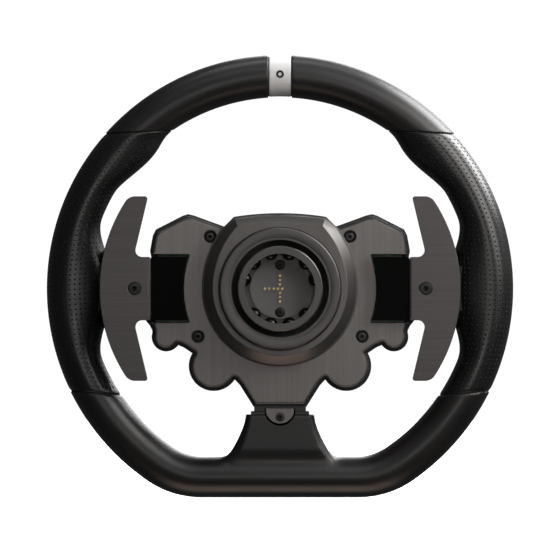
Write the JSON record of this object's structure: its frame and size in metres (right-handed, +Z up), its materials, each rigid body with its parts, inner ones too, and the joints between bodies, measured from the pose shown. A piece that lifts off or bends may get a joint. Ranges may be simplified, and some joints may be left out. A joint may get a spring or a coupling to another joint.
{
  "type": "racing wheel",
  "caption": "Flat-bottomed sim racing wheel with perforated grips, spring shift paddles, push-buttons, thumb sticks and a ball-lock quick-release hub on its back.",
  "frame": {"origin": "on the steering axis, at the mating face of the quick release on the wheel's back", "axes": "+X right and +Z up as seen from behind the wheel, +Y along the steering axis from the hub towards the driver"},
  "size_m": [0.2794, 0.063, 0.265],
  "materials": {
    "frame_alloy": "machined",
    "marker_silver": "satin silver paint",
    "rim_moulding": "soft-touch satin",
    "grip_leather": "perforated",
    "shell_black": "moulded satin",
    "cover_grey": "brushed, anodised dark grey",
    "cap_gloss": "gloss",
    "smoked_lens": "smoked",
    "board_green": "solder mask",
    "inner_plastic": "moulded",
    "bright_steel": "ground",
    "ring_black": "turned, anodised black",
    "collar_black": "turned, anodised black",
    "spring_steel": "drawn",
    "disc_grey": "moulded",
    "contact_gold": "gold plated",
    "screw_black": "black oxide",
    "paddle_grey": "brushed, anodised dark grey",
    "lever_black": "powder coated",
    "button_rubber": "textured",
    "button_plastic": "satin",
    "ball_steel": "polished"
  },
  "bodies": {
    "wheel": {"wheel_frame": "frame_alloy", "centre_marker": "marker_silver", "rim_bottom": "rim_moulding", "front_shell": "shell_black", "rear_cover": "cover_grey", "hub_housing": "cover_grey", "centre_cap": "cap_gloss", "light_bar": "smoked_lens", "main_board": "board_green", "stick_bases": "inner_plastic", "lever_pins": "bright_steel", "paddle_switches": "inner_plastic", "hub_ring": "ring_black", "collar_spring": "spring_steel", "contact_disc": "disc_grey", "contact_pins": "contact_gold", "disc_screws": "screw_black", "hub_bolts": "screw_black", "spoke_clamp": "cover_grey", "cover_screws": "screw_black", "trim_screws": "screw_black", "rim_top_left": "rim_moulding", "rim_grip_left": "grip_leather", "side_spoke_left": "rim_moulding", "rim_top_right": "rim_moulding", "rim_grip_right": "grip_leather", "side_spoke_right": "rim_moulding"},
    "left_paddle": {"paddle_left": "paddle_grey", "lever_left": "lever_black", "paddle_screw_left": "screw_black"},
    "left_stick_yoke": {"stick_yoke_left": "bright_steel"},
    "left_stick_arm": {"stick_arm_left": "bright_steel"},
    "left_stick_cap": {"stick_cap_left": "button_rubber"},
    "left_button_1": {"button_left_1": "button_plastic"},
    "left_button_2": {"button_left_2": "button_plastic"},
    "left_button_3": {"button_left_3": "button_plastic"},
    "left_button_4": {"button_left_4": "button_plastic"},
    "left_button_5": {"button_left_5": "button_plastic"},
    "right_paddle": {"paddle_right": "paddle_grey", "lever_right": "lever_black", "paddle_screw_right": "screw_black"},
    "right_stick_yoke": {"stick_yoke_right": "bright_steel"},
    "right_stick_arm": {"stick_arm_right": "bright_steel"},
    "right_stick_cap": {"stick_cap_right": "button_rubber"},
    "right_button_1": {"button_right_1": "button_plastic"},
    "right_button_2": {"button_right_2": "button_plastic"},
    "right_button_3": {"button_right_3": "button_plastic"},
    "right_button_4": {"button_right_4": "button_plastic"},
    "right_button_5": {"button_right_5": "button_plastic"},
    "collar": {"release_collar": "collar_black"},
    "ball_1": {"locking_ball_1": "ball_steel"},
    "ball_2": {"locking_ball_2": "ball_steel"},
    "ball_3": {"locking_ball_3": "ball_steel"},
    "ball_4": {"locking_ball_4": "ball_steel"},
    "ball_5": {"locking_ball_5": "ball_steel"},
    "ball_6": {"locking_ball_6": "ball_steel"},
    "ball_7": {"locking_ball_7": "ball_steel"},
    "ball_8": {"locking_ball_8": "ball_steel"},
    "ball_9": {"locking_ball_9": "ball_steel"},
    "ball_10": {"locking_ball_10": "ball_steel"}
  },
  "joints": [
    {"name": "left_paddle_pull", "type": "hinge", "parent": "wheel", "child": "left_paddle", "pos_m": [-0.0617, 0.0315, 0], "axis": [0, 0, -1], "range_deg": [0, 5.5], "stiffness_Nm_per_rad": 1.25, "springref_deg": -6.88},
    {"name": "right_paddle_pull", "type": "hinge", "parent": "wheel", "child": "right_paddle", "pos_m": [0.0617, 0.0315, 0], "axis": [0, 0, 1], "range_deg": [0, 5.5], "stiffness_Nm_per_rad": 1.25, "springref_deg": -6.88},
    {"name": "left_button_1_press", "type": "slide", "parent": "wheel", "child": "left_button_1", "axis": [0, -1, 0], "range_m": [0, 0.0012], "stiffness_N_per_m": 900, "springref_m": -0.0008},
    {"name": "left_button_2_press", "type": "slide", "parent": "wheel", "child": "left_button_2", "axis": [0, -1, 0], "range_m": [0, 0.0012], "stiffness_N_per_m": 900, "springref_m": -0.0008},
    {"name": "left_button_3_press", "type": "slide", "parent": "wheel", "child": "left_button_3", "axis": [0, -1, 0], "range_m": [0, 0.0012], "stiffness_N_per_m": 900, "springref_m": -0.0008},
    {"name": "left_button_4_press", "type": "slide", "parent": "wheel", "child": "left_button_4", "axis": [0, -1, 0], "range_m": [0, 0.0012], "stiffness_N_per_m": 900, "springref_m": -0.0008},
    {"name": "left_button_5_press", "type": "slide", "parent": "wheel", "child": "left_button_5", "axis": [0, -1, 0], "range_m": [0, 0.0012], "stiffness_N_per_m": 900, "springref_m": -0.0008},
    {"name": "right_button_1_press", "type": "slide", "parent": "wheel", "child": "right_button_1", "axis": [0, -1, 0], "range_m": [0, 0.0012], "stiffness_N_per_m": 900, "springref_m": -0.0008},
    {"name": "right_button_2_press", "type": "slide", "parent": "wheel", "child": "right_button_2", "axis": [0, -1, 0], "range_m": [0, 0.0012], "stiffness_N_per_m": 900, "springref_m": -0.0008},
    {"name": "right_button_3_press", "type": "slide", "parent": "wheel", "child": "right_button_3", "axis": [0, -1, 0], "range_m": [0, 0.0012], "stiffness_N_per_m": 900, "springref_m": -0.0008},
    {"name": "right_button_4_press", "type": "slide", "parent": "wheel", "child": "right_button_4", "axis": [0, -1, 0], "range_m": [0, 0.0012], "stiffness_N_per_m": 900, "springref_m": -0.0008},
    {"name": "right_button_5_press", "type": "slide", "parent": "wheel", "child": "right_button_5", "axis": [0, -1, 0], "range_m": [0, 0.0012], "stiffness_N_per_m": 900, "springref_m": -0.0008},
    {"name": "left_stick_up_down", "type": "hinge", "parent": "wheel", "child": "left_stick_yoke", "pos_m": [-0.0397, 0.0526, -0.0464], "axis": [1, 0, 0], "range_deg": [-10, 10], "stiffness_Nm_per_rad": 0.03},
    {"name": "left_stick_left_right", "type": "hinge", "parent": "left_stick_yoke", "child": "left_stick_arm", "pos_m": [-0.0397, 0.0526, -0.0464], "axis": [0, 0, 1], "range_deg": [-10, 10], "stiffness_Nm_per_rad": 0.03},
    {"name": "left_stick_press", "type": "slide", "parent": "left_stick_arm", "child": "left_stick_cap", "axis": [0, -1, 0], "range_m": [0, 0.0006], "stiffness_N_per_m": 1200, "springref_m": -0.0008},
    {"name": "right_stick_up_down", "type": "hinge", "parent": "wheel", "child": "right_stick_yoke", "pos_m": [0.0397, 0.0526, -0.0464], "axis": [1, 0, 0], "range_deg": [-10, 10], "stiffness_Nm_per_rad": 0.03},
    {"name": "right_stick_left_right", "type": "hinge", "parent": "right_stick_yoke", "child": "right_stick_arm", "pos_m": [0.0397, 0.0526, -0.0464], "axis": [0, 0, 1], "range_deg": [-10, 10], "stiffness_Nm_per_rad": 0.03},
    {"name": "right_stick_press", "type": "slide", "parent": "right_stick_arm", "child": "right_stick_cap", "axis": [0, -1, 0], "range_m": [0, 0.0006], "stiffness_N_per_m": 1200, "springref_m": -0.0008},
    {"name": "collar_release", "type": "slide", "parent": "wheel", "child": "collar", "axis": [0, 1, 0], "range_m": [0, 0.005], "stiffness_N_per_m": 1500, "springref_m": -0.006, "deforming": ["collar_spring"]},
    {"name": "ball_1_out", "type": "slide", "parent": "wheel", "child": "ball_1", "axis": [0.2588, 0, 0.9659], "range_m": [0, 0.0031]},
    {"name": "ball_2_out", "type": "slide", "parent": "wheel", "child": "ball_2", "axis": [0.7071, 0, 0.7071], "range_m": [0, 0.0031]},
    {"name": "ball_3_out", "type": "slide", "parent": "wheel", "child": "ball_3", "axis": [0.9659, 0, 0.2588], "range_m": [0, 0.0031]},
    {"name": "ball_4_out", "type": "slide", "parent": "wheel", "child": "ball_4", "axis": [0.7071, 0, -0.7071], "range_m": [0, 0.0031]},
    {"name": "ball_5_out", "type": "slide", "parent": "wheel", "child": "ball_5", "axis": [0.2588, 0, -0.9659], "range_m": [0, 0.0031]},
    {"name": "ball_6_out", "type": "slide", "parent": "wheel", "child": "ball_6", "axis": [-0.2588, 0, -0.9659], "range_m": [0, 0.0031]},
    {"name": "ball_7_out", "type": "slide", "parent": "wheel", "child": "ball_7", "axis": [-0.7071, 0, -0.7071], "range_m": [0, 0.0031]},
    {"name": "ball_8_out", "type": "slide", "parent": "wheel", "child": "ball_8", "axis": [-0.9659, 0, 0.2588], "range_m": [0, 0.0031]},
    {"name": "ball_9_out", "type": "slide", "parent": "wheel", "child": "ball_9", "axis": [-0.7071, 0, 0.7071], "range_m": [0, 0.0031]},
    {"name": "ball_10_out", "type": "slide", "parent": "wheel", "child": "ball_10", "axis": [-0.2588, 0, 0.9659], "range_m": [0, 0.0031]}
  ],
  "couplings": [
    {"joint": "ball_1_out", "follows": "collar_release", "ratio": 0.62},
    {"joint": "ball_2_out", "follows": "collar_release", "ratio": 0.62},
    {"joint": "ball_3_out", "follows": "collar_release", "ratio": 0.62},
    {"joint": "ball_4_out", "follows": "collar_release", "ratio": 0.62},
    {"joint": "ball_5_out", "follows": "collar_release", "ratio": 0.62},
    {"joint": "ball_6_out", "follows": "collar_release", "ratio": 0.62},
    {"joint": "ball_7_out", "follows": "collar_release", "ratio": 0.62},
    {"joint": "ball_8_out", "follows": "collar_release", "ratio": 0.62},
    {"joint": "ball_9_out", "follows": "collar_release", "ratio": 0.62},
    {"joint": "ball_10_out", "follows": "collar_release", "ratio": 0.62}
  ]
}
